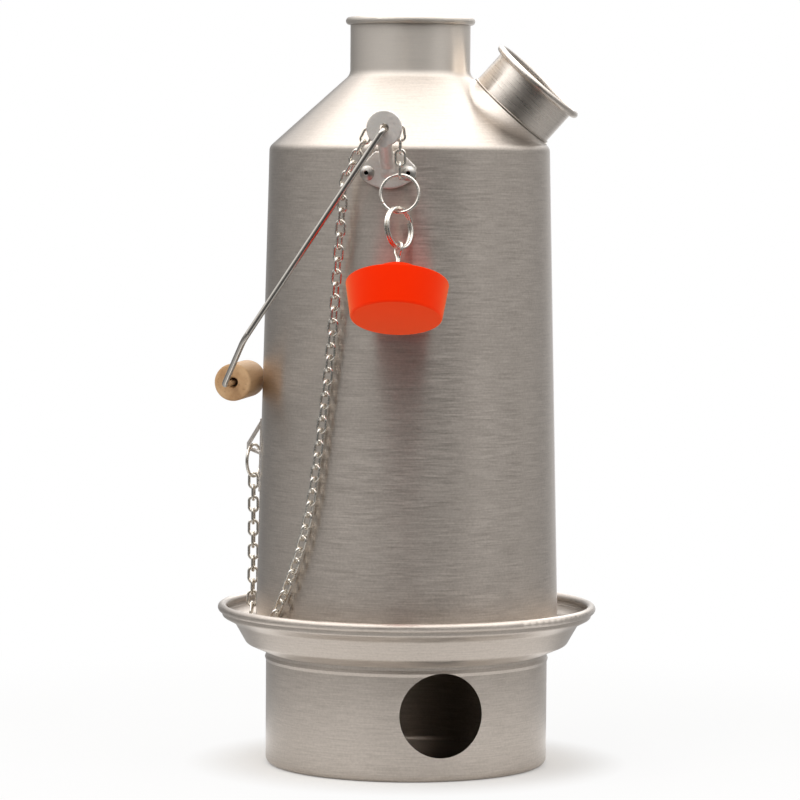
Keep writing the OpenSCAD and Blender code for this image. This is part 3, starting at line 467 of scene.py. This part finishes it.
# as on a lathe: one circle is pulled out ring by ring along an outline in mm
def turnedBody(name, outline, segments=64):
    clearSelection()
    r, z = outline[0]
    bpy.ops.mesh.primitive_circle_add(vertices=segments, radius=r * mm, location=(0, 0, z * mm))
    piece = bpy.context.object
    piece.name = name
    bpy.ops.object.transform_apply(location=True, rotation=True, scale=True)
    bpy.ops.object.mode_set(mode="EDIT")
    bpy.ops.mesh.select_all(action="SELECT")
    for nextR, nextZ in outline[1:]:
        bpy.ops.mesh.extrude_region_move(TRANSFORM_OT_translate={"value": (0, 0, (nextZ - z) * mm)})
        bpy.ops.transform.resize(value=(nextR / r, nextR / r, 1), center_override=(0, 0, nextZ * mm))
        r, z = nextR, nextZ
    bpy.ops.object.mode_set(mode="OBJECT")
    closeUp(piece)
    return piece


# round wire bent along points in mm
def bentWire(name, points, diameter, closed=False):
    clearSelection()
    bpy.ops.curve.primitive_nurbs_path_add()
    wire = bpy.context.object
    wire.name = name
    wire.data.splines.clear()
    spline = wire.data.splines.new("POLY")
    spline.points.add(len(points) - 1)
    for point, place in zip(spline.points, points):
        point.co = [v * mm for v in place] + [1.0]
    spline.use_cyclic_u = closed
    wire.data.bevel_depth = diameter / 2 * mm
    wire.data.bevel_resolution = 4
    wire.data.use_fill_caps = not closed
    bpy.ops.object.convert(target="MESH")
    wire = bpy.context.object
    closeUp(wire)
    return wire


# moves a piece to its place and keeps that place in its mesh
def settle(piece, place):
    piece.matrix_world = place
    pick(piece)
    bpy.ops.object.transform_apply(location=True, rotation=True, scale=True)


def applyModifier(piece, kind, settings):
    pick(piece)
    modifier = piece.modifiers.new(kind.lower(), kind)
    for key, value in settings.items():
        setattr(modifier, key, value)
    bpy.ops.object.modifier_apply(modifier=modifier.name)


def joinPieces(name, pieces):
    clearSelection()
    for piece in pieces:
        piece.select_set(True)
    bpy.context.view_layer.objects.active = pieces[0]
    bpy.ops.object.join()
    joined = bpy.context.object
    joined.name = name
    return joined


def ownCopy(piece, name):
    copied = piece.copy()
    copied.data = piece.data.copy()
    copied.name = name
    bpy.context.scene.collection.objects.link(copied)
    return copied


# edges sharper than this, in degrees, stay sharp
sharpFrom = 35


def finishPiece(piece, body, node):
    pick(piece)
    bpy.ops.object.shade_smooth_by_angle(angle=radians(sharpFrom))
    piece.data.materials.clear()
    piece.data.materials.append(finishes[slots[node]])
    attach(piece, body)
    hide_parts(node)
    print("made", piece.name)


# stopper: tapered plug with a boss round the eye, rounded where it was moulded
stopperSizes = {
    "hang": (7.51212, -82.58061, 247.01518), "turn": 5.1977, "tilt": 24,
    "top": 23.5, "bottom": 20.75, "height": 17.4, "boss": 9.4, "bossTop": -10.4, "topZ": -17.2, "edge": 0.9,
    "core": 0.2, "bossRound": 1.4, "bossFlare": 1.2, "lowRound": 1.2,
}
inStopper = (Matrix.Translation(Vector(stopperSizes["hang"]) * mm)
             @ Matrix.Rotation(radians(stopperSizes["turn"]), 4, "Z")
             @ Matrix.Rotation(radians(-stopperSizes["tilt"]), 4, "X"))
topZ = stopperSizes["topZ"]
lowZ = topZ - stopperSizes["height"]
stopper = turnedBody("siliconeStopper", roundedOutline([
    (stopperSizes["core"], stopperSizes["bossTop"], 0),
    (stopperSizes["boss"], stopperSizes["bossTop"], stopperSizes["bossRound"]),
    (stopperSizes["boss"] + stopperSizes["bossFlare"], topZ, stopperSizes["bossFlare"]),
    (stopperSizes["top"], topZ, stopperSizes["edge"]),
    (stopperSizes["bottom"], lowZ, stopperSizes["lowRound"]), (stopperSizes["core"], lowZ, 0),
]), segments=128)
settle(stopper, inStopper)
finishPiece(stopper, "plug", "stopper")

# eye: one wire bent to a loop, its two legs side by side in the stopper
eyeSizes = {"wire": 1.4, "loop": 3.2, "loopZ": -0.65, "turn": 30, "legGap": 0.74, "foot": -27,
            "from": 228, "sweep": 276}
legs = [(-eyeSizes["legGap"], eyeSizes["foot"]), (-eyeSizes["legGap"], -6.0), (-0.86, -5.2), (-1.2, -4.4)]
loop = []
for k in range(25):
    a = radians(eyeSizes["from"] - eyeSizes["sweep"] * k / 24)
    loop.append((eyeSizes["loop"] * cos(a), eyeSizes["loopZ"] + eyeSizes["loop"] * sin(a)))
eyePath = legs + loop + [(-u, z) for u, z in reversed(legs)]
eye = bentWire("wireEye", [(0, u, z) for u, z in eyePath], eyeSizes["wire"])
settle(eye, inStopper @ Matrix.Rotation(radians(eyeSizes["turn"]), 4, "Z"))
finishPiece(eye, "plug", "stopper_eye")

# rings: a plain ring with its ends butted, and a split ring of two turns
ringSizes = {"top": (6.8, -74.75229, 279.96554), "lean": 13.4177, "turn": 5.1977, "middle": 8.75, "wire": 1.5,
             "from": 212, "sweep": 357, "splitMiddle": 9.25, "splitTurn": 57, "drop": 33.875, "splitWire": 1.42,
             "splitPitch": 1.02, "splitFrom": 25, "crossFrom": 325, "crossSweep": 70}
inRings = (Matrix.Translation(Vector(ringSizes["top"]) * mm)
           @ Matrix.Rotation(radians(ringSizes["turn"]), 4, "Z")
           @ Matrix.Rotation(radians(-ringSizes["lean"]), 4, "X"))
ringPath = []
for k in range(73):
    a = radians(ringSizes["from"] + ringSizes["sweep"] * k / 72)
    ringPath.append((ringSizes["middle"] * cos(a), 0, -ringSizes["middle"] + ringSizes["middle"] * sin(a)))
plainRing = bentWire("plainRing", ringPath, ringSizes["wire"])
settle(plainRing, inRings)
finishPiece(plainRing, "rings", "stopper_ring")
splitPath = []
for k in range(145):
    a = 720 * k / 144
    step = min(max((a - ringSizes["crossFrom"]) / ringSizes["crossSweep"], 0), 1)  # crosses over once
    side = (step * step * (3 - 2 * step) - 0.5) * ringSizes["splitWire"] * ringSizes["splitPitch"]
    t = radians(a + ringSizes["splitFrom"])
    splitPath.append((ringSizes["splitMiddle"] * cos(t), side, ringSizes["splitMiddle"] * sin(t)))
splitRing = bentWire("splitRing", splitPath, ringSizes["splitWire"])
settle(splitRing, inRings @ Matrix.Translation((0, 0, (ringSizes["splitMiddle"] - ringSizes["drop"]) * mm))
       @ Matrix.Rotation(radians(ringSizes["splitTurn"]), 4, "Z"))
finishPiece(splitRing, "rings", "link_ring")

# grip: turned beech with eased ends and a bore for the wire, worn wider at its mouths
gripSizes = {"middle": (-78.52701, -14, 181.95447), "radius": 8.8, "half": 19, "bore": 1.75, "mouth": 2.5,
             "mouthDeep": 4, "mouthEdge": 0.3, "edge": 1.3}
mouthOut = gripSizes["mouth"] + gripSizes["mouthEdge"]
gripOutline = roundedOutline([
    (gripSizes["bore"], -gripSizes["half"] + gripSizes["mouthDeep"], 0),
    (gripSizes["mouth"], -gripSizes["half"] + gripSizes["mouthEdge"], 0), (mouthOut, -gripSizes["half"], 0),
    (gripSizes["radius"], -gripSizes["half"], gripSizes["edge"]),
    (gripSizes["radius"], gripSizes["half"], gripSizes["edge"]),
    (mouthOut, gripSizes["half"], 0), (gripSizes["mouth"], gripSizes["half"] - gripSizes["mouthEdge"], 0),
    (gripSizes["bore"], gripSizes["half"] - gripSizes["mouthDeep"], 0),
])
grip = turnedBody("beechGrip", gripOutline + [gripOutline[0]], segments=72)
settle(grip, Matrix.Translation(Vector(gripSizes["middle"]) * mm) @ Matrix.Rotation(radians(90), 4, "X"))
finishPiece(grip, "grip", "handle_grip")

# kettle wall: radius in mm at a height, for what is fixed to it
wallSizes = {"low": 56.91554, "height": 236, "bottom": 72.2, "top": 66.4}
wallLean = atan2(wallSizes["bottom"] - wallSizes["top"], wallSizes["height"])


def wallRadius(z):
    share = (z - wallSizes["low"]) / wallSizes["height"]
    return wallSizes["bottom"] + (wallSizes["top"] - wallSizes["bottom"]) * share


# blind rivets: domed heads with the hole of the drawn mandrel
rivetSizes = {"z": 280.61554, "gap": 18.5, "head": 3.5, "headHeight": 1.7, "hole": 1.0, "foot": 1.8,
              "shank": 2.0, "bulb": 2.8, "deep": -0.9, "bulbHigh": 2, "bulbTaper": 0.3, "core": 0.15,
              "holeFloor": -0.5, "bevel": 0.15, "bevelDeep": 0.12}
domeRadius = (rivetSizes["headHeight"] ** 2 + rivetSizes["head"] ** 2) / (2 * rivetSizes["headHeight"])
domeTop = rivetSizes["foot"] + rivetSizes["headHeight"]
dome = []
for k in range(9):
    span = rivetSizes["head"] - rivetSizes["hole"] - rivetSizes["bevel"]
    r = rivetSizes["hole"] + rivetSizes["bevel"] + span * k / 8
    dome.append((r, domeTop - domeRadius + sqrt(domeRadius ** 2 - r ** 2) * 0.999))  # a hair under the solid's
rivet = turnedBody("blindRivet", [
    (rivetSizes["core"], rivetSizes["holeFloor"]), (rivetSizes["hole"], rivetSizes["holeFloor"]),
    (rivetSizes["hole"], dome[0][1] - rivetSizes["bevelDeep"]), *dome,
    (rivetSizes["head"] - 0.1, rivetSizes["foot"] - 0.02), (rivetSizes["shank"], rivetSizes["foot"]),
    (rivetSizes["shank"], rivetSizes["deep"]), (rivetSizes["bulb"], rivetSizes["deep"]),
    (rivetSizes["bulb"] - rivetSizes["bulbTaper"], rivetSizes["deep"] - rivetSizes["bulbHigh"]),
    (rivetSizes["core"], rivetSizes["deep"] - rivetSizes["bulbHigh"]),
], segments=40)
# faces inside the rivet's hole are marked for painted shade
holeShade = rivet.data.attributes.new("holeShade", "FLOAT", "FACE")
for face in rivet.data.polygons:
    middle = sqrt(face.center.x ** 2 + face.center.y ** 2)
    inside = middle < rivetSizes["hole"] * 1.02 * mm and face.center.z > (rivetSizes["holeFloor"] - 0.1) * mm
    holeShade.data[face.index].value = 1.0 if inside else 0.0
rivetRadius = wallRadius(rivetSizes["z"])
rivetTurn = asin(rivetSizes["gap"] / 2 / rivetRadius)
for node, about in (("front_lug_rivets", -pi / 2), ("rear_lug_rivets", pi / 2)):
    pair = []
    for side in (-1, 1):
        copied = ownCopy(rivet, "blindRivetCopy")
        settle(copied, Matrix.Rotation(about + side * rivetTurn, 4, "Z")
               @ Matrix.Translation((rivetRadius * mm, 0, rivetSizes["z"] * mm))
               @ Matrix.Rotation(pi / 2 - wallLean, 4, "Y"))
        pair.append(copied)
    finishPiece(joinPieces("blindRivets" + ("Front" if about < 0 else "Rear"), pair), "kettle", node)
bpy.data.objects.remove(rivet)

# lugs: stamped foot with two ears, a half-round rib for a neck and a flat eye
lugSizes = {"low": 273.61554, "eye": 301.01554, "face": 79.40229, "sheet": 1.6, "footRadius": 18,
            "footHalf": 13, "earTop": 283.6, "footTop": 290.6, "ribHalf": 3.4, "rib": 3.3, "ribRise": 4.6,
            "eyeRadius": 8.25, "hole": 2.2, "rivetHole": 2.1, "wallGap": 0.1, "footGap": 0.12, "spare": 2,
            "stockFrom": 60, "stockDeep": 16, "punch": 20, "punchZ": 300, "voxel": 0.26, "smoothing": 14}
footMiddle = (0, -lugSizes["stockFrom"] * mm, (lugSizes["low"] + lugSizes["footRadius"]) * mm)
clearSelection()
bpy.ops.mesh.primitive_circle_add(vertices=160, radius=lugSizes["footRadius"] * mm, fill_type="NGON",
                                  location=footMiddle, rotation=(pi / 2, 0, 0))
foot = bpy.context.object
bpy.ops.object.transform_apply(location=True, rotation=True, scale=True)
bpy.ops.object.mode_set(mode="EDIT")
slantX = lugSizes["footTop"] - lugSizes["earTop"]
slantZ = lugSizes["footHalf"] - lugSizes["ribHalf"]
trims = [((0, 0, lugSizes["footTop"]), (0, 0, 1))]
for side in (-1, 1):
    trims.append(((side * lugSizes["footHalf"], 0, 0), (side, 0, 0)))
    trims.append(((side * lugSizes["footHalf"], 0, lugSizes["earTop"]), (side * slantX, 0, slantZ)))
for place, normal in trims:
    bpy.ops.mesh.select_all(action="SELECT")
    bpy.ops.mesh.bisect(plane_co=Vector(place) * mm, plane_no=normal, clear_outer=True)
bpy.ops.mesh.select_all(action="SELECT")
bpy.ops.mesh.extrude_region_move(TRANSFORM_OT_translate={"value": (0, -lugSizes["stockDeep"] * mm, 0)})
bpy.ops.object.mode_set(mode="OBJECT")
closeUp(foot)
footLow, footHigh = lugSizes["low"] - lugSizes["spare"], lugSizes["footTop"] + lugSizes["spare"]
footSheet = [(wallRadius(footLow) + lugSizes["footGap"], footLow),
             (wallRadius(footLow) + lugSizes["wallGap"] + lugSizes["sheet"], footLow),
             (wallRadius(footHigh) + lugSizes["wallGap"] + lugSizes["sheet"], footHigh),
             (wallRadius(footHigh) + lugSizes["footGap"], footHigh)]
wallBand = turnedBody("wallBand", footSheet + [footSheet[0]], segments=192)
applyModifier(foot, "BOOLEAN", {"operation": "INTERSECT", "object": wallBand, "solver": "EXACT"})
bpy.data.objects.remove(wallBand)
ribLow = lugSizes["low"] + lugSizes["ribRise"] + lugSizes["rib"]
eyeMiddle = lugSizes["face"] - lugSizes["sheet"] / 2
# the rib runs up the wall, leaves it above the ears and ends behind the eye
ribPath = [(0, -wallRadius(ribLow) - 0.5, ribLow), (0, -wallRadius(284) - 0.9, 284.0), (0, -70.2, 286.4),
           (0, -72.6, 289.4), (0, -75.2, 292.2), (0, -77.0, 294.4), (0, -eyeMiddle + 0.9, 296.6),
           (0, -eyeMiddle + 1.6, 298.4)]
rib = bentWire("lugRib", ribPath, lugSizes["rib"] * 2)
clearSelection()
bpy.ops.mesh.primitive_uv_sphere_add(segments=32, ring_count=16, radius=lugSizes["rib"] * mm,
                                     location=Vector(ribPath[0]) * mm)
ribEnd = bpy.context.object
clearSelection()
eyePlace = (0, -eyeMiddle * mm, lugSizes["eye"] * mm)
bpy.ops.mesh.primitive_cylinder_add(vertices=96, radius=lugSizes["eyeRadius"] * mm,
                                    depth=lugSizes["sheet"] * mm, location=eyePlace, rotation=(pi / 2, 0, 0))
eyeDisc = bpy.context.object
for part in (ribEnd, eyeDisc):
    pick(part)
    bpy.ops.object.transform_apply(location=True, rotation=True, scale=True)
frontLug = joinPieces("stampedLugFront", [foot, rib, ribEnd, eyeDisc])
applyModifier(frontLug, "REMESH", {"mode": "VOXEL", "voxel_size": lugSizes["voxel"] * mm})
applyModifier(frontLug, "SMOOTH", {"factor": 0.5, "iterations": lugSizes["smoothing"]})
# what lies inside the wall or in front of the eye's face is cut away, and the holes are punched
coreTop = lugSizes["eye"] + 1
core = turnedBody("wallCore", [(1, footLow), (wallRadius(footLow) + lugSizes["wallGap"], footLow),
                               (wallRadius(coreTop) + lugSizes["wallGap"], coreTop), (1, coreTop)],
                  segments=192)
clearSelection()
bpy.ops.mesh.primitive_cylinder_add(vertices=48, radius=lugSizes["hole"] * mm,
                                    depth=lugSizes["punch"] * mm, location=eyePlace, rotation=(pi / 2, 0, 0))
punches = [bpy.context.object]
clearSelection()
bpy.ops.mesh.primitive_cube_add(size=lugSizes["punch"] * mm,
                                location=(0, -lugSizes["face"] * mm - lugSizes["punch"] / 2 * mm,
                                          lugSizes["punchZ"] * mm))
punches.append(bpy.context.object)
for side in (-1, 1):
    clearSelection()
    bpy.ops.mesh.primitive_cylinder_add(vertices=32, radius=lugSizes["rivetHole"] * mm,
                                        depth=lugSizes["punch"] * mm)
    punches.append(bpy.context.object)
    settle(bpy.context.object, Matrix.Rotation(-pi / 2 + side * rivetTurn, 4, "Z")
           @ Matrix.Translation((rivetRadius * mm, 0, rivetSizes["z"] * mm))
           @ Matrix.Rotation(pi / 2 - wallLean, 4, "Y"))
for cutter in [core] + punches:
    applyModifier(frontLug, "BOOLEAN", {"operation": "DIFFERENCE", "object": cutter, "solver": "EXACT"})
    bpy.data.objects.remove(cutter)
rearLug = ownCopy(frontLug, "stampedLugRear")
settle(rearLug, Matrix.Rotation(pi, 4, "Z"))
finishPiece(frontLug, "kettle", "front_lug")
finishPiece(rearLug, "kettle", "rear_lug")
print("pieces ready")

# spout seat: the shoulder's sheet drawn up to the spout's foot in a hollow curve, with a bead along the seam
seatSizes = {"place": (48.1346, 0, 310.0346), "lean": 42, "inner": 22.75, "least": 0.8, "most": 10.4,
             "rings": 12, "sides": 144, "hollow": 2.4, "shoulder": 292.91554, "sheet": 0.5, "sunk": 0.08,
             "bead": 0.9, "beadRadius": 22.0, "beadUp": 0.7, "sharpFrom": 40}
inSeat = Matrix.Translation(Vector(seatSizes["place"])) @ Matrix.Rotation(radians(seatSizes["lean"]), 4, "Y")


# height of the shoulder's cone over the plane of the spout's foot, found in a few steps
def coneHeight(x, y):
    slope = tan(radians(seatSizes["lean"]))
    height = 0.0
    for step in range(12):
        spot = inSeat @ Vector((x, y, height))
        level = seatSizes["shoulder"] + (wallSizes["top"] - sqrt(spot.x ** 2 + spot.y ** 2)) * slope
        height -= (spot.z - level) * cos(radians(seatSizes["lean"]))
    return height


clearSelection()
bpy.ops.mesh.primitive_circle_add(vertices=seatSizes["sides"], radius=seatSizes["inner"] * mm)
seat = bpy.context.object
seat.name = "spoutSeat"
bpy.ops.object.mode_set(mode="EDIT")
bpy.ops.mesh.select_all(action="SELECT")
for ring in range(1, seatSizes["rings"] + 1):
    bpy.ops.mesh.extrude_region_move(TRANSFORM_OT_translate={"value": (0, 0, 0)})
    ratio = (seatSizes["inner"] + ring) / (seatSizes["inner"] + ring - 1)
    bpy.ops.transform.resize(value=(ratio, ratio, 1), center_override=(0, 0, 0))
bpy.ops.object.mode_set(mode="OBJECT")
for vertex in seat.data.vertices:
    share = (vertex.co.xy.length / mm - seatSizes["inner"]) / seatSizes["rings"]
    bearing = atan2(vertex.co.y, vertex.co.x)
    width = seatSizes["least"] + (seatSizes["most"] - seatSizes["least"]) * sin(bearing) ** 2
    seam = Vector((cos(bearing), sin(bearing))) * seatSizes["inner"]
    spot = Vector((cos(bearing), sin(bearing))) * (seatSizes["inner"] + width * share)
    risen = -coneHeight(seam.x, seam.y) * max(1 - share, 0) ** seatSizes["hollow"]
    level = coneHeight(spot.x, spot.y) + risen - seatSizes["sunk"] * share
    vertex.co = Vector((spot.x, spot.y, level)) * mm
pick(seat)
bpy.ops.object.mode_set(mode="EDIT")
bpy.ops.mesh.select_all(action="SELECT")
bpy.ops.mesh.normals_make_consistent(inside=False)
bpy.ops.object.mode_set(mode="OBJECT")
sheetSide = -1 if seat.data.polygons[0].normal.z > 0 else 1  # the sheet thickens downwards
applyModifier(seat, "SOLIDIFY", {"thickness": seatSizes["sheet"] * mm, "offset": sheetSide})
closeUp(seat)
beadPath = []
for k in range(seatSizes["sides"]):
    a = 2 * pi * k / seatSizes["sides"]
    beadPath.append((seatSizes["beadRadius"] * cos(a), seatSizes["beadRadius"] * sin(a), seatSizes["beadUp"]))
seamBead = bentWire("seamBead", beadPath, seatSizes["bead"], closed=True)
seat = joinPieces("spoutSeat", [seat, seamBead])
settle(seat, Matrix.Translation(Vector(seatSizes["place"]) * mm)
       @ Matrix.Rotation(radians(seatSizes["lean"]), 4, "Y"))
pick(seat)
bpy.ops.object.shade_smooth_by_angle(angle=radians(seatSizes["sharpFrom"]))
seat.data.materials.append(finishes["steel"])
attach(seat, "kettle")
print("made", seat.name)
